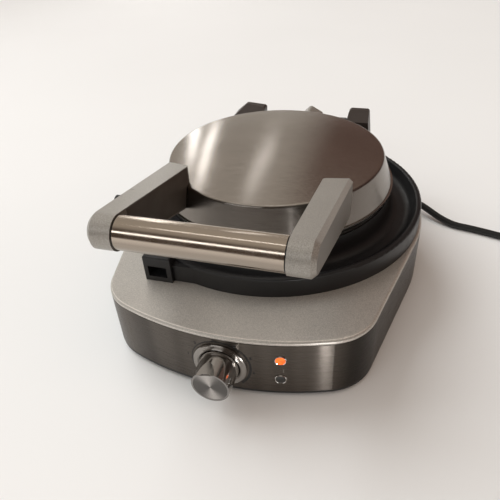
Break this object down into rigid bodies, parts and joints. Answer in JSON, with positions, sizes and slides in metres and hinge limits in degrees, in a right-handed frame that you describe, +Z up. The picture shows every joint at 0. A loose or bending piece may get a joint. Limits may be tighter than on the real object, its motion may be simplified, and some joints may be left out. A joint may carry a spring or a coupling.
{
  "type": "waffle maker",
  "caption": "Round electric waffle maker: domed lid on a rear hinge with a bar handle, overflow moat, browning dial, storage latch and mains cord.",
  "frame": {"origin": "on the floor under the middle of the object without its cord", "axes": "+X to the right seen from the front, +Y to the rear where the hinge is, +Z up"},
  "size_m": [0.4936, 0.3745, 0.1574],
  "materials": {
    "steel_lid": "brushed lengthways",
    "steel_band": "brushed round the base",
    "steel_hidden": "plain sheet and wire",
    "warm_paint": "satin metallic paint",
    "hump_steel": "satin",
    "polished": "polished",
    "spun": "spun face",
    "nonstick": "black non-stick coat",
    "bright_sheet": "bright sheet",
    "cast_dark": "dark painted casting",
    "satin_black": "satin moulding",
    "post_brown": "satin moulding",
    "pan_black": "fine grain",
    "foot_rubber": "matte",
    "lamp_orange": "lit lens",
    "lamp_dark": "unlit lens",
    "board": "circuit board",
    "block": "ceramic white",
    "cord_black": "satin",
    "tie": "flat strap",
    "brass": "plain"
  },
  "bodies": {
    "base": {"base_pan": "pan_black", "feet": "foot_rubber", "pan_screws": "steel_hidden", "steel_wrap": "steel_band", "deck": "warm_paint", "moat_tray": "satin_black", "latch_catch": "satin_black", "lower_plate": "nonstick", "lower_heater": "steel_hidden", "lower_reflector": "bright_sheet", "lower_screws": "steel_hidden", "rear_housing": "satin_black", "hinge_post_left": "post_brown", "hinge_post_right": "post_brown", "hinge_pins": "steel_hidden", "thermostat": "pan_black", "thermostat_bracket": "steel_hidden", "dial_bezel": "polished", "power_lamp": "lamp_orange", "ready_lamp": "lamp_dark", "lamp_rings": "polished", "lamp_board": "board", "terminal_block": "block", "cord_gland": "cord_black", "cord_lead": "cord_black", "cord_coil": "cord_black", "cord_tie": "tie", "plug_body": "cord_black", "plug_pins": "brass"},
    "lid": {"lid_cover": "steel_lid", "lid_liner": "satin_black", "upper_plate": "nonstick", "upper_heater": "steel_hidden", "upper_reflector": "bright_sheet", "upper_screws": "steel_hidden", "hinge_bracket": "cast_dark", "lead_cover": "hump_steel", "arm_left": "warm_paint", "arm_right": "warm_paint", "arm_cover_left": "satin_black", "arm_cover_right": "satin_black", "handle_tube": "polished", "tube_collars": "satin_black", "latch_pin": "steel_hidden"},
    "dial": {"dial_knob": "polished", "dial_cap": "spun", "dial_spindle": "brass"},
    "latch": {"storage_latch": "satin_black"}
  },
  "joints": [
    {"name": "lid_hinge", "type": "hinge", "parent": "base", "child": "lid", "pos_m": [0, 0.1615, 0.09], "axis": [-1, 0, 0], "range_deg": [0, 100]},
    {"name": "browning_dial", "type": "hinge", "parent": "base", "child": "dial", "pos_m": [0, -0.1539, 0.03], "axis": [0, 1, 0], "range_deg": [-118, 142]},
    {"name": "storage_latch", "type": "hinge", "parent": "lid", "child": "latch", "pos_m": [-0.066, -0.0895, 0.114], "axis": [1, 0, 0], "range_deg": [0, 90]}
  ]
}
